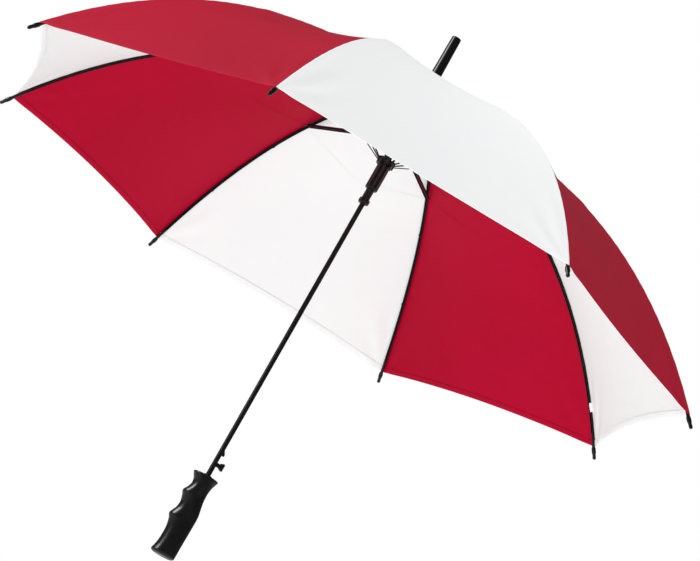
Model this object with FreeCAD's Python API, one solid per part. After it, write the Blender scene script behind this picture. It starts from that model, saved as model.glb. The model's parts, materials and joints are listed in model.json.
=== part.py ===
"""Golf umbrella with an opening runner, eight folding ribs and a push-button handle.

Millimetres. +Z runs up the shaft from the handle's end (the origin) to the ferrule's tip.
Each spoke (rib, stretcher and link) is drawn in the XZ plane and turned about the shaft.
"""
import FreeCAD, Part
import math
import os

V = FreeCAD.Vector
Z_AXIS = V(0, 0, 1)

# --- driving dimensions -------------------------------------------------------------
rib_count = 8
rib_pitch = 360.0 / rib_count

rim_radius = 650.0          # shaft axis to the end of a rib tip
crown_z = 898.0             # where the cloth's outer face would meet the shaft's axis
cloth_cone = 92.0           # fall of the cloth from crown to rim, straight term
cloth_bow = 246.0           # the same, cubed term
cloth_hole_radius = 5.5
cloth_thickness = 0.8
cloth_corner_radius = 637.0  # where the hem meets a rib
hem_scallop = 10.0          # how far the hem curves in between two ribs
gore_sag = 12.0             # how far a panel dips between two ribs
gore_rows = 24              # steps of a panel's curved surface, from crown to hem
gore_columns = 8            # and from rib to rib

shaft_radius = 4.2
shaft_wall = 0.6
shaft_foot_z = 28.0
shaft_top_z = 935.0

handle_length = 145.0
handle_depth = 17.5         # half size across the finger grooves
ferrule_base_z = 900.0
ferrule_top_z = 994.0
ferrule_base_radius = 9.35
ferrule_tip_radius = 8.2
button_angle = 17.5         # the button's direction round the shaft

notch_pivot_radius = 10.5
notch_pivot_z = 891.0
sleeve_pivot_radius = 8.8
sleeve_pivot_z = 794.0
runner_pivot_radius = 13.4
runner_pivot_z = 743.0
bead_top = 673.0            # the rim that the catch holds when the umbrella is closed
wire_radius = 0.75
pin_clearance = 0.06
running_clearance = 0.06

rib_drop = 3.0              # outer cloth face to the back of a rib
rib_height = 3.6
rib_width = 4.4
rib_wall = 0.6
rib_split_radius = 326.0
rib_end_radius = 628.0
joint_gap = 0.36

stretcher_joint = (318.0, 819.0)
stretcher_height = 4.6
stretcher_gap = 5.2
stretcher_wall = 0.7
fork_length = 98.0          # open end of the stretcher that the rib folds into
link_joint_distance = 105.0  # from the sleeve's pivot, along the stretcher


# --- helpers ------------------------------------------------------------------------
def save(name, shape):
    shape.exportStep(os.path.join("parts", name + ".step"))


def tube(outer, inner, low, high):
    """A round tube along Z."""
    solid = Part.makeCylinder(outer, high - low, V(0, 0, low))
    if inner <= 0:
        return solid
    return solid.cut(Part.makeCylinder(inner, high - low + 2, V(0, 0, low - 1)))


def fused(shapes):
    whole = shapes[0]
    for shape in shapes[1:]:
        whole = whole.fuse(shape)
    return whole.removeSplitter()


def turned(shape, degrees):
    copy = shape.copy()
    copy.rotate(V(0, 0, 0), Z_AXIS, degrees)
    return copy


def cloth_height(radius):
    """Height of the cloth's outer face on a rib."""
    share = radius / rim_radius
    return crown_z - cloth_cone * share - cloth_bow * share ** 3


def cloth_slope(radius):
    share = radius / rim_radius
    return -(cloth_cone + 3 * cloth_bow * share ** 2) / rim_radius


def below_cloth(radius, depth):
    """The point at a depth under the cloth, square to it, in the spoke's plane."""
    slope = cloth_slope(radius)
    length = math.hypot(1, slope)
    return V(radius + depth * slope / length, 0, cloth_height(radius) - depth / length)


def slab(points_top, points_bottom, low, high):
    """A plate between two curves in the XZ plane, from y = low to y = high."""
    top = Part.BSplineCurve()
    top.interpolate(points_top)
    bottom = Part.BSplineCurve()
    bottom.interpolate(points_bottom)
    ends = [
        Part.makeLine(points_top[-1], points_bottom[-1]),
        Part.makeLine(points_bottom[0], points_top[0]),
    ]
    wire = Part.Wire([top.toShape(), ends[0], bottom.toShape(), ends[1]])
    face = Part.Face(wire)
    face.translate(V(0, low, 0))
    return face.extrude(V(0, high - low, 0))


def bar(start, finish, below, above, low, high):
    """A straight plate along a line in the XZ plane, from y = low to y = high."""
    along = (finish - start).normalize()
    up = V(-along.z, 0, along.x)
    corners = [
        start - up * below,
        finish - up * below,
        finish + up * above,
        start + up * above,
    ]
    face = Part.Face(Part.makePolygon(corners + corners[:1]))
    face.translate(V(0, low, 0))
    return face.extrude(V(0, high - low, 0))


def eye(centre, radius, half_width):
    """A round boss across the spoke's plane."""
    return Part.makeCylinder(radius, 2 * half_width, centre - V(0, half_width, 0), V(0, 1, 0))


def wire_ring(radius, height):
    """The bent wire that the spokes turn on: one straight side for each spoke."""
    half = radius * math.tan(math.radians(rib_pitch / 2))
    sides = []
    for spoke in range(rib_count):
        side = Part.makeCylinder(wire_radius, 2 * half, V(radius, -half, height), V(0, 1, 0))
        corner = Part.makeSphere(wire_radius * 1.12, V(radius, half, height))
        sides.append(turned(side.fuse(corner), spoke * rib_pitch))
    return fused(sides)


def slots(inner, outer, width, low, high):
    """Cutters for one slot per spoke."""
    box = Part.makeBox(outer - inner, width, high - low, V(inner, -width / 2, low))
    return [turned(box, spoke * rib_pitch) for spoke in range(rib_count)]


# --- shaft, handle and ends ---------------------------------------------------------
catch_z = 185.4             # the square face that holds the closed runner
catch_length = 9.6
catch_reach = 7.7
button_z = 169.0
button_reach = 16.4
button_neck_half = 3.4
stop_pin_z = 811.4


def make_stop_pin():
    """The cross pin that stops the upper sleeve when the umbrella is open."""
    reach = shaft_radius + 1.6
    return Part.makeCylinder(1.0, 2 * reach, V(0, -reach, stop_pin_z), V(0, 1, 0))


def make_shaft():
    bore = shaft_radius - shaft_wall
    shaft = tube(shaft_radius, bore, shaft_foot_z, shaft_top_z)
    window_low = button_z - button_neck_half - 0.5
    window_high = catch_z + catch_length + 0.5
    window = Part.makeBox(6, 3.8, window_high - window_low, V(1, -1.9, window_low))
    return shaft.cut(turned(window, button_angle)).cut(make_stop_pin())


def handle_half_sizes(height):
    """Reach of the grip from the shaft's axis: finger side, then back."""
    depth = handle_length - height
    finger_points = [
        (0, 23.1), (5, 21.0), (12.5, 17.4), (22.5, 17.2), (31, 20.8), (36.5, 22.8), (44, 20.6),
        (54.8, 17.9), (65, 18.9), (73, 22.0), (79, 23.9), (86.2, 21.2), (98.8, 18.2),
        (116.3, 17.6), (132, 19.2), (141, 21.4), (145, 21.8),
    ]
    back_points = [
        (0, 20.4), (5, 18.8), (12, 16.5), (24.9, 14.7), (39.9, 15.5), (52.6, 17.8), (65, 20.0),
        (88.6, 19.9), (115, 19.5), (140, 19.4), (145, 19.0),
    ]
    return [between(points, depth) for points in (finger_points, back_points)]


def between(points, place):
    for (left, low), (right, high) in zip(points, points[1:]):
        if place <= right:
            return low + (high - low) * (place - left) / (right - left)
    return points[-1][1]


def make_handle():
    """A moulded grip: ellipses of changing reach, lofted, with a flat foot."""
    wires = []
    heights = [0.0, 2.5] + [5.0 * step for step in range(1, 30)]
    for height in heights:
        finger, back = handle_half_sizes(height)
        across = (finger + back) / 2
        depth = handle_depth - 1.5 * math.cos(math.pi * height / handle_length) ** 2
        if height == 0:
            across -= 2.5
            depth -= 2.5
        middle = (back - finger) / 2
        turns = [2 * math.pi * i / 16 for i in range(16)]
        curve = Part.BSplineCurve()
        ring = [V(middle + across * math.cos(a), depth * math.sin(a), height) for a in turns]
        curve.interpolate(Points=ring, PeriodicFlag=True)
        wires.append(Part.Wire([curve.toShape()]))
    grip = Part.makeLoft(wires, True, True)
    bore = Part.makeCylinder(shaft_radius, handle_length, V(0, 0, shaft_foot_z))
    return turned(grip.cut(bore), button_angle)


def make_collar():
    """The short ferrule that closes the top of the grip round the shaft."""
    return tube(6.6, shaft_radius, handle_length, handle_length + 3.0)


def plate(points, half):
    """A plate in the XZ plane with straight edges, of a given half thickness."""
    corners = [V(x, 0, z) for x, z in points]
    face = Part.Face(Part.makePolygon(corners + corners[:1]))
    face.translate(V(0, -half, 0))
    return face.extrude(V(0, 2 * half, 0))


def make_button():
    """The push button, flared to its outer face, with a neck through the shaft's window."""
    half = 6.1
    flare = [
        (8.6, button_z - button_neck_half - 0.7),
        (13.0, button_z - half),
        (button_reach - 0.9, button_z - half),
        (button_reach, button_z - half + 1.2),
        (button_reach, button_z + half - 1.2),
        (button_reach - 0.9, button_z + half),
        (13.0, button_z + half),
        (8.6, button_z + button_neck_half + 0.7),
    ]
    height = 2 * button_neck_half
    neck = Part.makeBox(8.0, 2.8, height, V(1.4, -1.4, button_z - button_neck_half))
    return turned(neck.fuse(plate(flare, 3.9)).removeSplitter(), button_angle)


def make_catch():
    """The wedge that holds the closed runner: it slopes outward, down to a square face."""
    top = catch_z + catch_length
    outline = [
        (1.4, catch_z),
        (catch_reach - 0.5, catch_z),
        (catch_reach, catch_z + 0.6),
        (catch_reach, catch_z + 3.4),
        (4.4, top),
        (1.4, top),
    ]
    return turned(plate(outline, 1.2), button_angle)


def make_catch_leaf():
    """The spring leaf inside the tube that joins button and catch."""
    low = button_z - 5.2
    leaf = Part.makeBox(0.6, 2.8, catch_z + catch_length - low, V(0.8, -1.4, low))
    return turned(leaf, button_angle)


def make_ferrule():
    height = ferrule_top_z - ferrule_base_z
    body = Part.makeCone(ferrule_base_radius, ferrule_tip_radius, height, V(0, 0, ferrule_base_z))
    tip = [e for e in body.Edges if e.BoundBox.ZMin > ferrule_top_z - 0.01]
    body = body.makeFillet(1.6, tip)
    socket = Part.makeCylinder(shaft_radius, shaft_top_z - ferrule_base_z, V(0, 0, ferrule_base_z))
    return body.cut(socket)


def make_crown_washer():
    return tube(12.0, shaft_radius, crown_z - 0.7, ferrule_base_z)


def make_notch():
    """The fixed crown hub with a slot for each rib."""
    hub = tube(13.0, shaft_radius, 884.0, 893.8)
    hub = hub.fuse(tube(6.6, shaft_radius, 872.0, 884.0)).removeSplitter()
    for cutter in slots(7.4, 20.0, 2.6, 883.5, 897.0):
        hub = hub.cut(cutter)
    return hub.cut(wire_ring(notch_pivot_radius, notch_pivot_z))


# --- sliding parts ------------------------------------------------------------------
def make_sleeve():
    """The upper sleeve: it carries the stretchers and slides on the shaft."""
    bore = shaft_radius + running_clearance
    pivot = sleeve_pivot_z
    body = fused([
        tube(11.0, bore, pivot - 5.0, pivot + 5.0),
        tube(7.4, bore, pivot + 5.0, pivot + 10.0),
        tube(6.4, bore, pivot + 10.0, pivot + 15.0),
    ])
    body = body.cut(Part.makeCylinder(6.2, 13.5, V(0, 0, pivot - 5.0)))
    for cutter in slots(6.9, 20.0, 2.8, pivot - 6.0, pivot + 6.0):
        body = body.cut(cutter)
    return body.cut(wire_ring(sleeve_pivot_radius, pivot))


def bead(radius, low, high):
    """A collar with a rounded rim."""
    collar = Part.makeCylinder(radius, high - low, V(0, 0, low))
    return collar.makeFillet((high - low) * 0.32, [e for e in collar.Edges if e.Closed])


def make_runner():
    """The lower runner: bead, neck, hand grip, slotted flange and stub in one moulding."""
    pivot = runner_pivot_z
    stages = [(6.9, bead_top - 1.0, 694.0), (15.4, pivot - 5.0, pivot + 6.0), (5.8, pivot, pivot + 18.0)]
    grip = Part.makeCylinder(10.9, 48.0, V(0, 0, 691.0))
    lower = [e for e in grip.Edges if e.Closed and e.BoundBox.ZMax < 692.0]
    grip = grip.makeFillet(2.6, lower)
    body = fused([bead(9.4, bead_top - 9.6, bead_top), grip] + [tube(r, 0, low, high) for r, low, high in stages])
    bore = shaft_radius + running_clearance
    body = body.cut(Part.makeCylinder(bore, 120.0, V(0, 0, 655.0)))
    for cutter in slots(11.2, 20.0, 3.8, pivot - 6.0, pivot + 7.0):
        body = body.cut(cutter)
    window = Part.makeBox(12.0, 3.2, 11.2, V(0, -1.6, bead_top))
    return body.cut(turned(window, button_angle)).cut(wire_ring(runner_pivot_radius, pivot))


# --- one spoke ----------------------------------------------------------------------
def rib_curve(first, last, depth):
    count = 9
    radii = [first + (last - first) * i / (count - 1) for i in range(count)]
    return [below_cloth(radius, depth) for radius in radii]


def rib_channel(first, last):
    """A fluted steel rib: an arched back with two flanges."""
    half = rib_width / 2
    back = rib_curve(first, last, rib_drop)
    web = rib_curve(first, last, rib_drop + rib_wall)
    edge = rib_curve(first, last, rib_drop + rib_height)
    return fused([
        slab(back, web, -half, half),
        slab(back, edge, -half, -half + rib_wall),
        slab(back, edge, half - rib_wall, half),
    ])


def make_rib_inner():
    start = 22.0
    channel = rib_channel(start, rib_split_radius - joint_gap / 2)
    pivot = V(notch_pivot_radius, 0, notch_pivot_z)
    centre = below_cloth(start + 4, rib_drop + rib_height / 2)
    blade = bar(pivot, centre, 1.5, 1.5, -0.9, 0.9)
    whole = fused([channel, blade, eye(pivot, 2.2, 0.9)])
    return whole.cut(eye(pivot, wire_radius + pin_clearance, 5))


def make_rib_outer():
    return rib_channel(rib_split_radius + joint_gap / 2, rib_end_radius)


def make_rib_tip():
    """The plastic cap on the end of a rib, sewn to the corner of the cloth."""
    depth = rib_drop + rib_height / 2
    start = below_cloth(rib_end_radius + 0.3, depth)
    finish = below_cloth(rim_radius + 1.6, depth)
    along = finish - start
    body = Part.makeCone(3.1, 2.3, along.Length, start, along)
    ball = Part.makeSphere(3.0, finish - V(along).normalize() * 1.0)
    return body.fuse(ball).removeSplitter()


def stretcher_line():
    start = V(sleeve_pivot_radius, 0, sleeve_pivot_z)
    finish = V(stretcher_joint[0], 0, stretcher_joint[1])
    return start, finish


def make_stretcher():
    """A blade at the sleeve, a channel open below, and a long fork for the rib."""
    start, finish = stretcher_line()
    along = (finish - start).normalize()
    reach = (finish - start).Length
    half = stretcher_height / 2
    inner = stretcher_gap / 2
    outer = inner + stretcher_wall
    blade_end = start + along * 34.0
    web_start = start + along * 31.0
    web_end = start + along * (reach - fork_length)
    parts = [
        bar(start, blade_end, 1.5, 1.5, -0.9, 0.9),
        eye(start, 1.5, 0.9),
        bar(web_start, web_end, -(half - 0.8), half, -outer, outer),
        bar(web_start, blade_end, half, half, -outer, outer),
    ]
    for side in (-1, 1):
        low, high = sorted((side * inner, side * outer))
        parts.append(bar(web_start, finish, half, half, low, high))
        cheek = eye(finish, half, stretcher_wall / 2)
        cheek.translate(V(0, side * (inner + outer) / 2, 0))
        parts.append(cheek)
    whole = fused(parts)
    return whole.cut(eye(start, wire_radius + pin_clearance, 5))


def link_line():
    start, finish = stretcher_line()
    along = (finish - start).normalize()
    return V(runner_pivot_radius, 0, runner_pivot_z), start + along * link_joint_distance


def make_link():
    """The lifting link: an eye at the runner and two arms that straddle the stretcher."""
    start, finish = link_line()
    along = (finish - start).normalize()
    outer = stretcher_gap / 2 + stretcher_wall
    near = outer + 0.4
    far = near + 0.9
    parts = [
        eye(start, 1.6, 1.5),
        bar(start, start + along * 34.0, 0.8, 0.8, -1.5, 1.5),
        bar(start + along * 31.0, start + along * 34.0, 0.8, 0.8, -far, far),
    ]
    for side in (-1, 1):
        low, high = sorted((side * near, side * far))
        parts.append(bar(start + along * 31.0, finish, 0.8, 0.8, low, high))
        tip = eye(finish, 1.6, 0.45)
        tip.translate(V(0, side * (near + far) / 2, 0))
        parts.append(tip)
    whole = fused(parts)
    return whole.cut(eye(start, wire_radius + pin_clearance, 5))


# --- cloth --------------------------------------------------------------------------
def gore_point(share, across):
    """A point on a panel: share runs from crown to hem, across from rib to rib (-1 to 1)."""
    middle = 1 - across ** 2
    hem = cloth_corner_radius - hem_scallop * middle
    radius = cloth_hole_radius + (hem - cloth_hole_radius) * share
    half = math.radians(rib_pitch / 2)
    x = radius * math.cos(half)
    y = radius * math.sin(half) * across
    slope = cloth_slope(radius)
    dip = gore_sag * middle * math.sin(math.pi * min(share, 0.5)) * (1.5 - 0.5 * share)
    return V(x + dip * slope * 0.7, y, cloth_height(radius) - dip)


def make_gore():
    rows = []
    for i in range(gore_rows + 1):
        across = [2 * j / gore_columns - 1 for j in range(gore_columns + 1)]
        rows.append([gore_point(i / gore_rows, place) for place in across])
    surface = Part.BSplineSurface()
    surface.interpolate(rows)
    return surface.toShape().extrude(V(0, 0, -cloth_thickness))


# --- build --------------------------------------------------------------------------
def main():
    os.makedirs("parts", exist_ok=True)
    save("shaft", make_shaft())
    save("handle_grip", make_handle())
    save("handle_collar", make_collar())
    save("push_button", make_button())
    save("closing_catch", make_catch())
    save("catch_leaf_spring", make_catch_leaf())
    save("ferrule", make_ferrule())
    save("crown_washer", make_crown_washer())
    save("crown_notch", make_notch())
    save("crown_notch_wire", wire_ring(notch_pivot_radius, notch_pivot_z))
    save("open_stop_pin", make_stop_pin())
    save("stretcher_sleeve", make_sleeve())
    save("stretcher_sleeve_wire", wire_ring(sleeve_pivot_radius, sleeve_pivot_z))
    save("runner", make_runner())
    save("runner_wire", wire_ring(runner_pivot_radius, runner_pivot_z))

    spoke_parts = {
        "rib_inner": make_rib_inner(),
        "rib_outer": make_rib_outer(),
        "rib_tip": make_rib_tip(),
        "stretcher": make_stretcher(),
        "link": make_link(),
    }
    for name, shape in spoke_parts.items():
        for spoke in range(rib_count):
            save(f"{name}_{spoke + 1}", turned(shape, spoke * rib_pitch))

    gore = make_gore()
    for colour, first in (("red", 1), ("white", 0)):
        panels = [turned(gore, (i + 0.5) * rib_pitch) for i in range(first, rib_count, 2)]
        save(f"canopy_gores_{colour}", Part.makeCompound(panels))


main()
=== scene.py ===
"""Golf umbrella: cloth, grip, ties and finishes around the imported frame. Metres, radians."""
import json
import math

import bmesh
import bpy
from mathutils import Matrix, Vector


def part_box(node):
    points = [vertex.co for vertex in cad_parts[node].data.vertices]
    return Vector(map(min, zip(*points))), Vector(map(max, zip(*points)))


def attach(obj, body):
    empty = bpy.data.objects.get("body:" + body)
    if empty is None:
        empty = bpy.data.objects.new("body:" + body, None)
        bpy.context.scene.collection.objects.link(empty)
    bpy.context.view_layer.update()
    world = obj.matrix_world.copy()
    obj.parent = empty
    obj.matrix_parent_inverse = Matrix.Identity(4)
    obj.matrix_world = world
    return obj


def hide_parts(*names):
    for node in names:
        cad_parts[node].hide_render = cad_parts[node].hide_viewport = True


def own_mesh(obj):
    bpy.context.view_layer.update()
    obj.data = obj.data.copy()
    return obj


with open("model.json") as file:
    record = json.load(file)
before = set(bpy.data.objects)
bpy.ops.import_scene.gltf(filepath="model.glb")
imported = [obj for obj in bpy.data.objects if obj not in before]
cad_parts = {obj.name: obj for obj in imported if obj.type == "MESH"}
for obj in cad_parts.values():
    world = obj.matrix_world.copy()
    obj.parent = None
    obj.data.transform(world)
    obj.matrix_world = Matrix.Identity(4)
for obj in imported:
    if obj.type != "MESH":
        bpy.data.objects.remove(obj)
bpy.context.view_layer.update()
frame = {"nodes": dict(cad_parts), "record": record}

MM = 0.001
RIBS = 8
PITCH = 2 * math.pi / RIBS
HALF_PITCH = PITCH / 2

# --- the cloth's driving dimensions -------------------------------------------------
CLOTH_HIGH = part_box("canopy_gores_red")[1]
CORNER_RADIUS = CLOTH_HIGH[0]
RIM_RADIUS = 650 * MM
CONE = 92 * MM               # fall from crown to rim, straight term
BOW = 246 * MM               # the same, cubed term
HOLE_RADIUS = 5.5 * MM
CROWN_Z = CLOTH_HIGH[2] + CONE * HOLE_RADIUS / RIM_RADIUS
HEM_SCALLOP = 10 * MM        # how far the hem curves in at the middle of a panel
HEM_WIDTH = 6 * MM
HEM_THICK = 0.9 * MM
SAG = 13 * MM                # how far the cloth dips between two ribs
LAID_DOWN = 1.7 * MM         # the cloth rests this far under the CAD face, near the ribs
TUCK = 0.35 * MM             # how far a tucked layer lies under the one that covers it
ALLOWANCE = 2.0 * MM         # seam allowance across a rib
WEDGE = 21 * MM              # tucked cloth at the middle of a panel's cross seam

# --- how it folds: the turn towards the shaft ----
INNER_TILT = math.radians(9)
OUTER_TILT = math.radians(10)

# --- the frame's joints -------------------------------------------------------------
SPLIT_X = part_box("rib_inner_1")[1][0]    # where each rib flexes
RIVET_INSET = 2.3 * MM       # from the stretcher's upper corner to its rivet
EYE_INSET = 1.6 * MM         # from a link's corner to its eye
JOINT_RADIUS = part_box("stretcher_1")[1][0] - RIVET_INSET
JOINT_RISE = 0.6             # share of LAID_DOWN that the cloth gives up over that rivet
JOINT_REACH = 14 * MM

# --- the grip -----------------------------------------------------------------------
GRIP_LOW, GRIP_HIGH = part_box("handle_grip")
GRIP_LENGTH = GRIP_HIGH[2] - GRIP_LOW[2]
BUTTON_ANGLE = math.radians(17.5)

# --- the studio's white tent: what it gives off, and what gloss sees of it ------------
TENT_LIGHT = 0.84
TENT_GLOSS = 0.12


# --- shader helpers -----------------------------------------------------------------
def new_material(name):
    material = bpy.data.materials.new(name)
    material.use_nodes = True
    tree = material.node_tree
    return material, tree, tree.nodes["Principled BSDF"]


def link(tree, source, target):
    tree.links.new(source, target)


def node(tree, kind, **values):
    """A new node with some of its sockets set."""
    made = tree.nodes.new(kind)
    for name, value in values.items():
        made.inputs[name].default_value = value
    return made


def maths(tree, operation, first, second):
    """The output of a sum; each term is a number or another node's output."""
    made = tree.nodes.new("ShaderNodeMath")
    made.operation = operation
    for socket, value in zip(made.inputs, (first, second)):
        if isinstance(value, (int, float)):
            socket.default_value = value
        else:
            link(tree, value, socket)
    return made.outputs[0]


def ramp(tree, factor, stops):
    """A colour ramp through (place, colour) stops."""
    made = tree.nodes.new("ShaderNodeValToRGB")
    link(tree, factor, made.inputs[0])
    elements = made.color_ramp.elements
    while len(elements) < len(stops):
        elements.new(0.5)
    for element, (place, colour) in zip(elements, stops):
        element.position = place
        element.color = (*colour, 1)
    return made.outputs[0]


def grey(value):
    return (value, value, value)


def noise(tree, scale, detail):
    """Noise that is fixed to the object."""
    place = tree.nodes.new("ShaderNodeTexCoord")
    made = node(tree, "ShaderNodeTexNoise", Scale=scale, Detail=detail)
    link(tree, place.outputs["Object"], made.inputs["Vector"])
    return made.outputs[0]


def bump(tree, height, strength, distance, below=None):
    """A bumped normal, on top of the one below it if that is given."""
    made = node(tree, "ShaderNodeBump", Strength=strength, Distance=distance)
    link(tree, height, made.inputs["Height"])
    if below is not None:
        link(tree, below, made.inputs["Normal"])
    return made.outputs[0]


# --- materials ----------------------------------------------------------------------
def cloth_material(name, colour, shade, sheen):
    """Close plain-woven polyester: crossed threads and a faint slub."""
    material, tree, shader = new_material(name)
    place = tree.nodes.new("ShaderNodeUVMap")
    place.uv_map = "threads"
    split = tree.nodes.new("ShaderNodeSeparateXYZ")
    link(tree, place.outputs[0], split.inputs[0])
    threads_per_metre = 2600
    waves = []
    for axis in (0, 1):
        turns = maths(tree, "MULTIPLY", split.outputs[axis], threads_per_metre * math.pi)
        waves.append(maths(tree, "ABSOLUTE", maths(tree, "SINE", turns, 0), 0))
    weave = maths(tree, "MAXIMUM", waves[0], waves[1])
    slub = noise(tree, 60, 4)
    blotch = noise(tree, 5, 2)
    slub_part = maths(tree, "MULTIPLY", slub, 0.35)
    blotch_part = maths(tree, "MULTIPLY", blotch, 0.65)
    mixed = maths(tree, "ADD", slub_part, blotch_part)
    tone = ramp(tree, mixed, [(0.35, shade), (0.62, colour)])
    link(tree, tone, shader.inputs["Base Color"])
    rough = maths(tree, "ADD", maths(tree, "MULTIPLY", slub, 0.12), 0.56)
    link(tree, rough, shader.inputs["Roughness"])
    shader.inputs["Sheen Weight"].default_value = sheen
    shader.inputs["Sheen Roughness"].default_value = 0.45
    shader.inputs["Specular IOR Level"].default_value = 0.09
    fine = bump(tree, weave, 0.25, 0.00012)
    soft = bump(tree, noise(tree, 26, 3), 0.12, 0.0012, fine)
    link(tree, soft, shader.inputs["Normal"])
    return material


def plastic_material(name, colour, rough, coat):
    """Moulded plastic: an even gloss broken by faint scuffs and a moulding ripple."""
    material, tree, shader = new_material(name)
    scuffs = noise(tree, 150, 4)
    ripple = noise(tree, 34, 2)
    tone = ramp(tree, scuffs, [(0.3, colour), (0.75, grey(colour[0] * 1.7))])
    link(tree, tone, shader.inputs["Base Color"])
    wear = maths(tree, "ADD", maths(tree, "MULTIPLY", scuffs, 0.10), rough - 0.05)
    link(tree, wear, shader.inputs["Roughness"])
    shader.inputs["Specular IOR Level"].default_value = 0.3
    shader.inputs["Coat Weight"].default_value = coat
    shader.inputs["Coat Roughness"].default_value = 0.22
    fine = bump(tree, scuffs, 0.03, 0.0001)
    link(tree, bump(tree, ripple, 0.05, 0.0008, fine), shader.inputs["Normal"])
    return material


def steel_material(name, colour, rough, metal, along):
    """Drawn steel strip or tube, plated or lacquered, with faint lines along its length."""
    material, tree, shader = new_material(name)
    place = tree.nodes.new("ShaderNodeTexCoord")
    stretch = node(tree, "ShaderNodeMapping")
    stretch.inputs["Scale"].default_value = along
    link(tree, place.outputs["Object"], stretch.inputs["Vector"])
    lines = node(tree, "ShaderNodeTexNoise", Scale=1.0, Detail=5.0)
    link(tree, stretch.outputs[0], lines.inputs["Vector"])
    tone = ramp(tree, lines.outputs[0], [(0.3, colour), (0.8, grey(colour[0] * 1.5))])
    link(tree, tone, shader.inputs["Base Color"])
    wear = maths(tree, "ADD", maths(tree, "MULTIPLY", lines.outputs[0], 0.16), rough - 0.08)
    link(tree, wear, shader.inputs["Roughness"])
    shader.inputs["Metallic"].default_value = metal
    shader.inputs["Specular IOR Level"].default_value = 0.5 if metal else 0.22
    link(tree, bump(tree, lines.outputs[0], 0.08, 0.0002), shader.inputs["Normal"])
    return material


RED_CLOTH = cloth_material("red_polyester", (0.44, 0.0016, 0.026), (0.40, 0.0010, 0.021), 0.0)
WHITE_CLOTH = cloth_material("white_polyester", (0.91, 0.925, 0.925), (0.895, 0.91, 0.915), 0.0)
BLACK_PLASTIC = plastic_material("black_moulding", grey(0.0022), 0.30, 0.12)
BLACK_STEEL = steel_material("black_lacquered_steel", grey(0.0035), 0.32, 0.0, (400, 400, 30))
RIB_STEEL = steel_material("black_rib_steel", grey(0.0035), 0.4, 0.0, (90, 90, 90))
BRIGHT_STEEL = steel_material("plated_wire", grey(0.42), 0.3, 1.0, (300, 300, 300))
THREAD = cloth_material("black_thread", grey(0.02), grey(0.012), 0.2)


def finish_nodes():
    """The CAD pieces that stay visible take these finishes."""
    finishes = {
        "black_plastic": BLACK_PLASTIC,
        "black_steel": RIB_STEEL,
        "bright_steel": BRIGHT_STEEL,
        "red_cloth": RED_CLOTH,
        "white_cloth": WHITE_CLOTH,
    }
    slots = {part["node"]: part["material_slot"] for part in frame["record"]["subparts"]}
    for name, piece in frame["nodes"].items():
        chosen = BLACK_STEEL if name in ("shaft", "closing_catch") else finishes[slots[name]]
        for slot in piece.material_slots:
            slot.material = chosen


# --- mesh helpers -------------------------------------------------------------------
def mesh_object(name, points, faces, material, threads=None, smooth=True):
    """A mesh in the scene; threads lists each point's place along and across the cloth."""
    mesh = bpy.data.meshes.new(name)
    mesh.from_pydata(points, [], faces)
    mesh.materials.append(material)
    if threads is not None:
        layer = mesh.uv_layers.new(name="threads")
        for loop in mesh.loops:
            layer.data[loop.index].uv = threads[loop.vertex_index]
    if smooth:
        mesh.polygons.foreach_set("use_smooth", [True] * len(mesh.polygons))
    mesh.update()
    made = bpy.data.objects.new(name, mesh)
    bpy.context.scene.collection.objects.link(made)
    return made


def grid_faces(rows, columns, flip=False):
    """Faces of a net of points listed row by row."""
    faces = []
    for i in range(rows - 1):
        for j in range(columns - 1):
            corner = i * columns + j
            face = (corner, corner + 1, corner + columns + 1, corner + columns)
            faces.append(face[::-1] if flip else face)
    return faces


def ring_sides(rings, segments):
    """Side faces that join successive rings of points, each ring closed on itself."""
    faces = []
    for i in range(rings - 1):
        for j in range(segments):
            nxt = (j + 1) % segments
            corner = i * segments
            above = corner + segments
            faces.append((corner + j, corner + nxt, above + nxt, above + j))
    return faces


def ring_skin(rings, segments):
    """Side faces, and a flat face over the first and the last ring."""
    first = tuple(reversed(range(segments)))
    last = tuple(range((rings - 1) * segments, rings * segments))
    return ring_sides(rings, segments) + [first, last]


def softened(value, power):
    """A sine or cosine whose swing is squared up (power under 1), with its sign kept."""
    return math.copysign(abs(value) ** power, value)


def joined(name, pieces):
    """One object from several meshes that share a material."""
    whole = bmesh.new()
    for piece in pieces:
        whole.from_mesh(piece.data)
    mesh = bpy.data.meshes.new(name)
    whole.to_mesh(mesh)
    whole.free()
    mesh.materials.append(pieces[0].data.materials[0])
    mesh.polygons.foreach_set("use_smooth", [True] * len(mesh.polygons))
    for piece in pieces:
        bpy.data.objects.remove(piece)
    made = bpy.data.objects.new(name, mesh)
    bpy.context.scene.collection.objects.link(made)
    return made


def eased(value):
    """A smooth step from 0 to 1."""
    value = min(max(value, 0.0), 1.0)
    return value * value * (3 - 2 * value)


# --- the canopy ---------------------------------------------------------------------
def cloth_height(radius):
    """Height of the cloth's line over a rib."""
    share = radius / RIM_RADIUS
    return CROWN_Z - CONE * share - BOW * share ** 3


def cloth_slope(radius):
    share = radius / RIM_RADIUS
    return -(CONE + 3 * BOW * share ** 2) / RIM_RADIUS


def hem_radius(across):
    """Where the hem lies, from a rib (0) to the middle of a panel (1)."""
    return CORNER_RADIUS - HEM_SCALLOP * (1 - (1 - across) ** 2)


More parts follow.
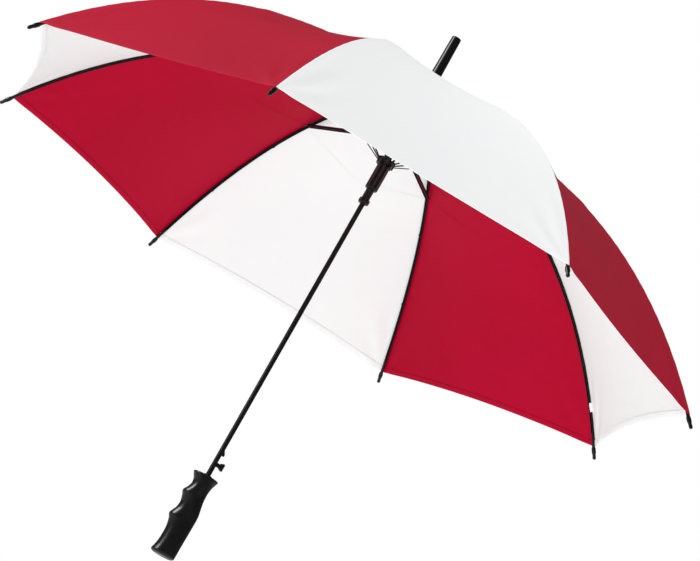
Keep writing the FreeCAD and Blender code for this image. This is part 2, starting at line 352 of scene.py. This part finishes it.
def pucker(radius, aside):
    """Small gathers along the rib seam and drag lines from the hem's corner."""
    gather_high, drag_high, seam_high = 0.16 * MM, 1.1 * MM, 0.25 * MM
    fade = math.exp(-aside / (12 * MM))
    along = math.sin(radius / (3.4 * MM) + 1.3 * math.sin(radius / (21 * MM)))
    gather = gather_high * fade * along * eased(radius / (90 * MM))
    corner = math.hypot(CORNER_RADIUS - radius, aside * 1.6)
    angle = math.atan2(aside, CORNER_RADIUS - radius + 6 * MM)
    drag = drag_high * math.sin(9 * angle) * math.exp(-((corner - 60 * MM) / (45 * MM)) ** 2)
    rise = seam_high * math.exp(-((aside / (2.6 * MM)) ** 2))
    return gather + drag * eased(aside / (20 * MM)) + rise


def cloth_point(radius, across, side, lift=0.0):
    """A point of the cloth in the rib's own frame: across 0 on the rib, 1 mid-panel.

    The cloth dips between ribs, hangs a little under the CAD face and rises over the rivet
    of the stretcher; a point mid-panel stays on the plane that two ribs share.
    """
    middle = 1 - (1 - across) ** 2
    share = min(radius / CORNER_RADIUS, 1.0)
    dip = SAG * middle * eased(share / 0.8) * (1.4 - 0.4 * share)
    over_joint = JOINT_RISE * math.exp(-(((radius - JOINT_RADIUS) / JOINT_REACH) ** 2))
    dip += LAID_DOWN * (1 - 0.7 * middle) * (1 - over_joint) - lift
    slope = cloth_slope(radius)
    sine = math.sin(HALF_PITCH) ** 2
    aside = radius * across * math.sin(HALF_PITCH) * math.cos(HALF_PITCH)
    dip -= pucker(radius, aside) * (1 - across ** 6)
    length = math.hypot(1, slope)
    inward = dip * slope / length
    x = radius * (1 - sine * across) + inward * math.cos(HALF_PITCH * across)
    y = aside + inward * math.sin(HALF_PITCH * across)
    if across == 1:
        y = x * math.tan(HALF_PITCH)
    return Vector((x, side * y, cloth_height(radius) - dip / length))


def split_radius(across):
    """The radius whose cloth lies over the rib's flexing point."""
    radius = SPLIT_X / (1 - math.sin(HALF_PITCH) ** 2 * across)
    for _ in range(6):
        radius += SPLIT_X - cloth_point(radius, across, 1).x
    return radius


def inner_rows(shares):
    """Rows of an inner half panel: each point's radius, and the row's lift off the cloth."""
    steps = 69
    splits = [split_radius(across) for across in shares]
    rows = []
    for i in range(steps + 1):
        radii = [HOLE_RADIUS + (split - HOLE_RADIUS) * i / steps for split in splits]
        rows.append((radii, 0.0))
    return rows


def outer_rows(shares):
    """Rows of an outer half panel: the tucked wedge, the open cloth and the turned hem."""
    steps = 73
    splits = [split_radius(across) for across in shares]
    hems = [hem_radius(across) for across in shares]
    rows = []
    for back, under in ((1.0, 1.0), (0.7, 1.0), (0.4, 0.8)):
        radii = [split - back * WEDGE * across for split, across in zip(splits, shares)]
        rows.append((radii, -TUCK * under))
    for i in range(steps + 1):
        radii = [split + (hem - split) * i / steps for split, hem in zip(splits, hems)]
        rows.append((radii, 0.0))
    for out, down in ((0.35 * MM, 0.5), (0.0, 1.0), (-HEM_WIDTH / 2, 1.0), (-HEM_WIDTH, 1.0)):
        rows.append(([hem + out for hem in hems], -HEM_THICK * down))
    return rows


def half_gore(name, rib, side, outer, material):
    """Half a panel, from a rib to the panel's middle, on one side of the flexing point.

    The first column is the seam allowance tucked under the next panel. The outer piece has a
    wedge tucked under the inner one, which covers the seam when the rib unbends.
    """
    columns_across, crowding = 33, 1.35
    shares = [0.0] + [(j / columns_across) ** crowding for j in range(columns_across + 1)]
    rows = outer_rows(shares) if outer else inner_rows(shares)
    points, threads = [], []
    for radii, lift in rows:
        for column, (radius, across) in enumerate(zip(radii, shares)):
            point = cloth_point(radius, across, side, lift)
            if column == 0:
                beyond = min(ALLOWANCE / (radius * math.sin(HALF_PITCH)), 0.3)
                point = cloth_point(radius, beyond, -side, lift - TUCK)
            points.append(point)
            threads.append((radius, point.y))
    turn = Matrix.Rotation(rib * PITCH, 3, "Z")
    points = [turn @ point for point in points]
    faces = grid_faces(len(rows), len(shares), side < 0)
    return mesh_object(name, points, faces, material, threads)


def fold_direction(rib, side, outer):
    """The axis and anchor along which a half panel gathers in against its rib."""
    low, high = (SPLIT_X, CORNER_RADIUS) if outer else (HOLE_RADIUS, SPLIT_X)
    start, finish = cloth_point(low, 0, 1), cloth_point(high, 0, 1)
    chord = (finish - start).normalized()
    normal = Vector((-chord.z, 0, chord.x))
    rise = (cloth_point((low + high) / 2, 0, 1) - start).dot(normal)
    tilt = OUTER_TILT if outer else INNER_TILT
    axis = Vector((0, side * math.cos(tilt), 0)) - normal * math.sin(tilt)
    turn = Matrix.Rotation(rib * PITCH, 3, "Z")
    return turn @ axis, turn @ (start + normal * rise / 2)


def half_gore_flat(outer):
    """The flat cut of a half panel: its length along the rib, width and area."""
    length, area, width = 0.0, 0.0, 0.0
    steps = 200
    low, high = (SPLIT_X, CORNER_RADIUS) if outer else (HOLE_RADIUS, SPLIT_X)
    for i in range(steps):
        radius = low + (high - low) * (i + 0.5) / steps
        piece = math.hypot(1, cloth_slope(radius)) * (high - low) / steps
        width = radius * math.sin(HALF_PITCH)
        length += piece
        area += piece * width
    return length, width, area


def make_canopy():
    """Every panel is cut at its middle, and each half rides on its own rib."""
    cloths = (("white", WHITE_CLOTH), ("red", RED_CLOTH))
    for rib in range(RIBS):
        for side, hand in ((1, "left"), (-1, "right")):
            panel = rib if side > 0 else rib - 1
            colour, material = cloths[panel % 2]
            for outer in (False, True):
                part = "outer" if outer else "inner"
                name = f"gore_{colour}_{part}_{rib + 1}_{hand}"
                piece = half_gore(name, rib, side, outer, material)
                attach(piece, f"rib_end_{rib + 1}" if outer else f"rib_{rib + 1}")
                length, width, area = half_gore_flat(outer)
                axis, anchor = fold_direction(rib, side, outer)
                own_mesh(piece)
                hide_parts(f"canopy_gores_{colour}")


# --- the grip -----------------------------------------------------------------------
# Depth below the grip's top and distance from its axis, in millimetres.
FINGER_SIDE = [
    (0, 22.6), (1.2, 23.2), (6, 21.0), (12.5, 17.6), (20, 16.6), (28, 19.0), (36.5, 23.4), (44, 20.6),
    (54.8, 17.8), (65, 18.8), (73, 22.2), (79, 24.3), (86.2, 21.0), (98.8, 18.1), (112, 17.5),
    (122, 17.9), (132, 19.3), (141, 21.8), (145, 22.6),
]
BACK_SIDE = [
    (0, 19.8), (1.2, 20.3), (6, 18.6), (12, 16.5), (24.9, 14.7), (39.9, 15.5), (52.6, 17.8),
    (65, 19.8), (88.6, 19.9), (115, 19.5), (135, 19.4), (145, 19.3),
]


def curve_through(points, place):
    """Smooth reading between listed points (Catmull-Rom through uneven steps)."""
    last = len(points) - 1
    index = max(i for i in range(last) if points[i][0] <= place or i == 0)
    (x1, y1), (x2, y2) = points[index], points[index + 1]
    x0, y0 = points[max(index - 1, 0)]
    x3, y3 = points[min(index + 2, last)]
    start = (y2 - y0) / max(x2 - x0, 1e-6) * (x2 - x1)
    finish = (y3 - y1) / max(x3 - x1, 1e-6) * (x2 - x1)
    t = (place - x1) / (x2 - x1)
    a = 2 * t ** 3 - 3 * t ** 2 + 1
    b = t ** 3 - 2 * t ** 2 + t
    return a * y1 + b * start + (1 - a) * y2 + (t ** 3 - t ** 2) * finish


def grip_section(depth, angle, shrink=0.0):
    """A point of the grip's outline; angle 0 is the back, pi the finger side."""
    finger = curve_through(FINGER_SIDE, depth) * MM - shrink
    back = curve_through(BACK_SIDE, depth) * MM - shrink
    half_width, swell, squareness = 16.6 * MM, 0.9 * MM, 0.93
    half = half_width + swell * math.cos(2 * math.pi * depth / (GRIP_LENGTH / MM)) - shrink
    across = (finger + back) / 2
    x = (back - finger) / 2 + across * softened(math.cos(angle), squareness)
    return x, half * softened(math.sin(angle), squareness)


def make_grip():
    """The moulded grip: a rounded lip at its top, finger grooves and a rounded foot."""
    segments, steps = 96, 110
    full = GRIP_LENGTH / MM
    edge, inset = 4.5, 9.0
    # Each ring's depth below the top, and how far it is drawn in, in millimetres.
    rings = [(0.0, 5.0), (0.0, 1.6), (0.35, 0.5), (1.3, 0.0)]
    rings += [(1.5 + step * (full - 2.0 - edge) / steps, 0.0) for step in range(1, steps + 1)]
    for step in range(1, 13):
        swing = step / 12 * math.pi / 2
        rings.append((full - edge + edge * math.sin(swing), inset * (1 - math.cos(swing))))
    points = []
    for depth, shrink in rings:
        for j in range(segments):
            x, y = grip_section(min(depth, full), 2 * math.pi * j / segments, shrink * MM)
            points.append(Vector((x, y, GRIP_HIGH[2] - depth * MM)))
    # The rings run down the grip, so each side face is turned round to look outwards.
    faces = [(face[0], *face[:0:-1]) for face in ring_sides(len(rings), segments)]
    faces.append(tuple(range(segments)))
    faces.append(tuple(reversed(range((len(rings) - 1) * segments, len(rings) * segments))))
    turn = Matrix.Rotation(BUTTON_ANGLE, 3, "Z")
    piece = mesh_object("grip", [turn @ point for point in points], faces, BLACK_PLASTIC)
    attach(piece, "shaft_assembly")
    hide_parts("handle_grip")


# --- fastenings ---------------------------------------------------------------------
def dome(name, centre, axis, radius, height, material):
    """A rivet head: a low dome with its rim."""
    segments, rings = 20, 6
    axis = Vector(axis).normalized()
    side = axis.orthogonal().normalized()
    up = axis.cross(side)
    points = []
    for i in range(rings):
        swing = i / rings * math.pi / 2
        for j in range(segments):
            turn = 2 * math.pi * j / segments
            reach = radius * math.cos(swing)
            around = side * math.cos(turn) + up * math.sin(turn)
            points.append(centre + around * reach + axis * height * math.sin(swing))
    points.append(centre + axis * height)
    faces = ring_sides(rings, segments)
    top = (rings - 1) * segments
    faces += [(top + j, top + (j + 1) % segments, len(points) - 1) for j in range(segments)]
    faces.append(tuple(reversed(range(segments))))
    return mesh_object(name, points, faces, material)


def make_rivets():
    """Rivet heads at each stretcher's two joints, on both cheeks."""
    head_radius, head_height = 1.9 * MM, 0.9 * MM
    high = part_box("stretcher_1")[1]
    link_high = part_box("link_1")[1]
    joint = Vector((high[0] - RIVET_INSET, 0, high[2] - RIVET_INSET))
    lift = Vector((link_high[0] - EYE_INSET, 0, link_high[2] - EYE_INSET))
    for rib in range(RIBS):
        turn = Matrix.Rotation(rib * PITCH, 3, "Z")
        for kind, centre in (("rib_rivet", joint), ("link_rivet", lift)):
            for side, hand in ((1, "left"), (-1, "right")):
                place = turn @ (centre + Vector((0, side * high[1], 0)))
                axis = turn @ Vector((0, side, 0))
                name = f"{kind}_{rib + 1}_{hand}"
                head = dome(name, place, axis, head_radius, head_height, BLACK_STEEL)
                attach(head, f"stretcher_arm_{rib + 1}")


def ring_around(name, centre, along, half_wide, half_high, thick, material):
    """A rounded loop of thread wound round a rib."""
    segments, sides, squareness = 28, 8, 0.6
    along = along.normalized()
    side = Vector((0, 1, 0))
    up = along.cross(side).normalized()
    points, faces = [], []
    for i in range(segments):
        turn = 2 * math.pi * i / segments
        cosine, sine = math.cos(turn), math.sin(turn)
        reach = side * half_wide * softened(cosine, squareness)
        reach += up * half_high * softened(sine, squareness)
        outward = (side * cosine + up * sine).normalized()
        for j in range(sides):
            swing = 2 * math.pi * j / sides
            around = outward * thick * math.cos(swing) + along * thick * math.sin(swing)
            points.append(centre + reach + around)
    for i in range(segments):
        for j in range(sides):
            a, b = i * sides, (i + 1) % segments * sides
            faces.append((a + j, b + j, b + (j + 1) % sides, a + (j + 1) % sides))
    return mesh_object(name, points, faces, material)


def rib_middle(radius, depth):
    """A point on the first rib, at a depth under the cloth's CAD face."""
    slope = cloth_slope(radius)
    length = math.hypot(1, slope)
    return Vector((radius + depth * slope / length, 0, cloth_height(radius) - depth / length))


def lathe(name, start, finish, profile, material):
    """A turned piece from start to finish; the profile lists share along it and radius."""
    segments = 24
    along = finish - start
    axis = along.normalized()
    side = Vector((0, 1, 0))
    up = axis.cross(side).normalized()
    points = []
    for share, radius in profile:
        for j in range(segments):
            turn = 2 * math.pi * j / segments
            around = side * math.cos(turn) + up * math.sin(turn)
            points.append(start + along * share + around * radius)
    return mesh_object(name, points, ring_skin(len(profile), segments), material)


def strip(name, start, finish, half_wide, half_thick, material):
    """A flat bar with rounded edges and a round eye at each end."""
    along = (finish - start).normalized()
    side = Vector((0, 1, 0))
    up = along.cross(side).normalized()
    segments, squareness = 20, 0.35
    # Place along the bar in millimetres, then shares of its half width and half thickness.
    sections = [(-1.9, 0.3, 0.5), (-1.6, 1.0, 1.1), (0.0, 1.0, 1.7), (1.6, 1.0, 1.1), (4.0, 1.0, 1.0)]
    length = (finish - start).length / MM
    sections += [(length - place, wide, thick) for place, wide, thick in reversed(sections)]
    points = []
    for place, wide, thick in sections:
        for j in range(segments):
            turn = 2 * math.pi * j / segments
            reach = side * half_wide * wide * softened(math.cos(turn), squareness)
            reach += up * half_thick * thick * softened(math.sin(turn), squareness)
            points.append(start + along * place * MM + reach)
    return mesh_object(name, points, ring_skin(len(sections), segments), material)


def make_links():
    """Pressed steel links, each one strip that ends inside its stretcher's channel."""
    half_wide, half_thick = 1.5 * MM, 0.8 * MM
    low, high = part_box("link_1")
    start = Vector((low[0] + EYE_INSET, 0, low[2] + EYE_INSET))
    finish = Vector((high[0] - EYE_INSET, 0, high[2] - EYE_INSET))
    for rib in range(RIBS):
        name = f"lifting_strip_{rib + 1}"
        piece = strip(name, start, finish, half_wide, half_thick, BLACK_STEEL)
        piece.data.transform(Matrix.Rotation(rib * PITCH, 4, "Z"))
        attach(piece, f"lifting_link_{rib + 1}")
        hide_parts(f"link_{rib + 1}")


def make_tips():
    """Moulded caps: a socket over the rib's end, a collar at the hem and a nub."""
    socket_length, nub_length = 29 * MM, 1 * MM
    # Share of the cap's length, then its radius in millimetres.
    profile = [
        (0.0, 1.5), (0.005, 2.1), (0.03, 2.3), (0.40, 2.4), (0.50, 2.5), (0.55, 3.1), (0.60, 3.7),
        (0.74, 3.8), (0.77, 3.4), (0.80, 2.9), (0.93, 3.1), (0.965, 2.8), (0.985, 2.2), (1.0, 0.8),
    ]
    start = rib_middle(RIM_RADIUS - socket_length, 5.2 * MM)
    finish = rib_middle(RIM_RADIUS + nub_length, 4.8 * MM)
    radii = [(share, radius * MM) for share, radius in profile]
    for rib in range(RIBS):
        piece = lathe(f"tip_cap_{rib + 1}", start, finish, radii, BLACK_PLASTIC)
        piece.data.transform(Matrix.Rotation(rib * PITCH, 4, "Z"))
        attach(piece, f"rib_end_{rib + 1}")
        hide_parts(f"rib_tip_{rib + 1}")


def make_label():
    """A small blank sewn-in tag beside one rib, near the hem."""
    columns, rows = 15, 19
    near, width, flat_length = 585, 11, 17.5
    points, threads = [], []
    for i in range(rows):
        radius = (near + width * i / (rows - 1)) * MM
        for j in range(columns):
            share = j / (columns - 1)
            depth = (2.8 + 5.0 * math.sin(share * math.pi) + 0.4 * math.sin(4 * i / rows)) * MM
            point = rib_middle(radius, depth)
            point.y = -(3.2 - 0.9 * math.cos(share * math.pi)) * MM
            points.append(point)
            threads.append((radius, share * width * MM))
    piece = mesh_object("blank_label", points, grid_faces(rows, columns), WHITE_CLOTH, threads)
    piece.data.transform(Matrix.Rotation(PITCH, 4, "Z"))
    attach(piece, "rib_end_2")


def make_ties():
    """Thread ties that hold the cloth to each rib at two places."""
    depth, reach, thick, spacing = 5.7 * MM, 2.6 * MM, 0.45 * MM, 0.9 * MM
    for rib in range(RIBS):
        turn = Matrix.Rotation(rib * PITCH, 4, "Z")
        for number, radius in enumerate((405 * MM, 535 * MM)):
            loops = []
            for wind in (-1, 0, 1):
                place = radius + wind * spacing
                centre = rib_middle(place, depth)
                along = Vector((1, 0, cloth_slope(place)))
                loops.append(ring_around("loop", centre, along, reach, reach, thick, THREAD))
            piece = joined(f"rib_tie_{rib + 1}_{number + 1}", loops)
            piece.data.transform(turn)
            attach(piece, f"rib_end_{rib + 1}")


# --- studio -------------------------------------------------------------------------
def make_camera():
    """The main view: from below the rim, through a long lens, rolled so the shaft leans."""
    azimuth, elevation = math.radians(-73.582), math.radians(-14.403)
    roll = math.radians(29.520)
    aim = Vector((0.0419, 0.0134, 0.5404))
    distance = 4.2196
    away = Vector((
        math.cos(elevation) * math.cos(azimuth),
        math.cos(elevation) * math.sin(azimuth),
        math.sin(elevation),
    ))
    data = bpy.data.cameras.new("camera")
    data.lens = 133.5
    data.sensor_width = 36
    camera = bpy.data.objects.new("camera", data)
    bpy.context.scene.collection.objects.link(camera)
    level = away.to_track_quat("Z", "Y").to_matrix().to_4x4()
    place = Matrix.Translation(aim + away * distance)
    camera.matrix_world = place @ level @ Matrix.Rotation(roll, 4, "Z")
    bpy.context.scene.camera = camera


def area_light(name, place, aim, size, power):
    """A white disk light that faces its aim."""
    data = bpy.data.lights.new(name, "AREA")
    data.shape = "DISK"
    data.size = size
    data.energy = power
    light = bpy.data.objects.new(name, data)
    bpy.context.scene.collection.objects.link(light)
    direction = Vector(place) - Vector(aim)
    facing = direction.to_track_quat("Z", "Y").to_matrix().to_4x4()
    light.matrix_world = Matrix.Translation(Vector(place)) @ facing
    return light


def make_tent():
    """An even white world, a clean white to the camera and dim in gloss."""
    world = bpy.data.worlds.new("studio")
    bpy.context.scene.world = world
    world.use_nodes = True
    tree = world.node_tree
    tent = tree.nodes["Background"]
    tent.inputs["Color"].default_value = (1, 1, 1, 1)
    rays = tree.nodes.new("ShaderNodeLightPath")
    seen = maths(tree, "MULTIPLY", rays.outputs["Is Camera Ray"], 1.0 - TENT_LIGHT)
    gloss = maths(tree, "MULTIPLY", rays.outputs["Is Glossy Ray"], TENT_GLOSS - TENT_LIGHT)
    strength = maths(tree, "ADD", maths(tree, "ADD", seen, gloss), TENT_LIGHT)
    link(tree, strength, tent.inputs["Strength"])


def make_floor():
    """A pale floor far below, so that it never hides the canopy from underneath."""
    material, tree, shader = new_material("pale_floor")
    speckle = ramp(tree, noise(tree, 3, 4), [(0.3, grey(0.86)), (0.7, grey(0.9))])
    link(tree, speckle, shader.inputs["Base Color"])
    shader.inputs["Roughness"].default_value = 0.8
    half, level = 300.0, -9.0
    outline = ((-half, -half), (half, -half), (half, half), (-half, half))
    corners = [(x, y, level) for x, y in outline]
    floor = mesh_object("floor", corners, [(0, 1, 2, 3)], material, smooth=False)


def make_lights():
    """Key and edge from the left, a soft fill at the right and a lift from underneath."""
    centre = (0, 0, 0.6)
    area_light("key", (-3.4, -1.6, 2.6), centre, 1.6, 84)
    fill = area_light("fill", (3.4, -2.6, 1.2), centre, 1.6, 7)
    fill.visible_glossy = False
    under = area_light("under", (0.6, -2.0, -1.9), (0, 0, 0.7), 1.6, 54)
    under.visible_glossy = False
    edge = area_light("edge", (-2.5, -1.9, 1.5), (0, 0, 0.4), 1.0, 60)
    edge.visible_diffuse = False


def make_studio():
    make_tent()
    make_floor()
    make_lights()
    scene = bpy.context.scene
    scene.view_settings.view_transform = "Standard"
    scene.view_settings.look = "None"


# --- build --------------------------------------------------------------------------
make_camera()
make_studio()
finish_nodes()
make_canopy()
make_grip()
make_rivets()
make_ties()
make_tips()
make_links()
make_label()
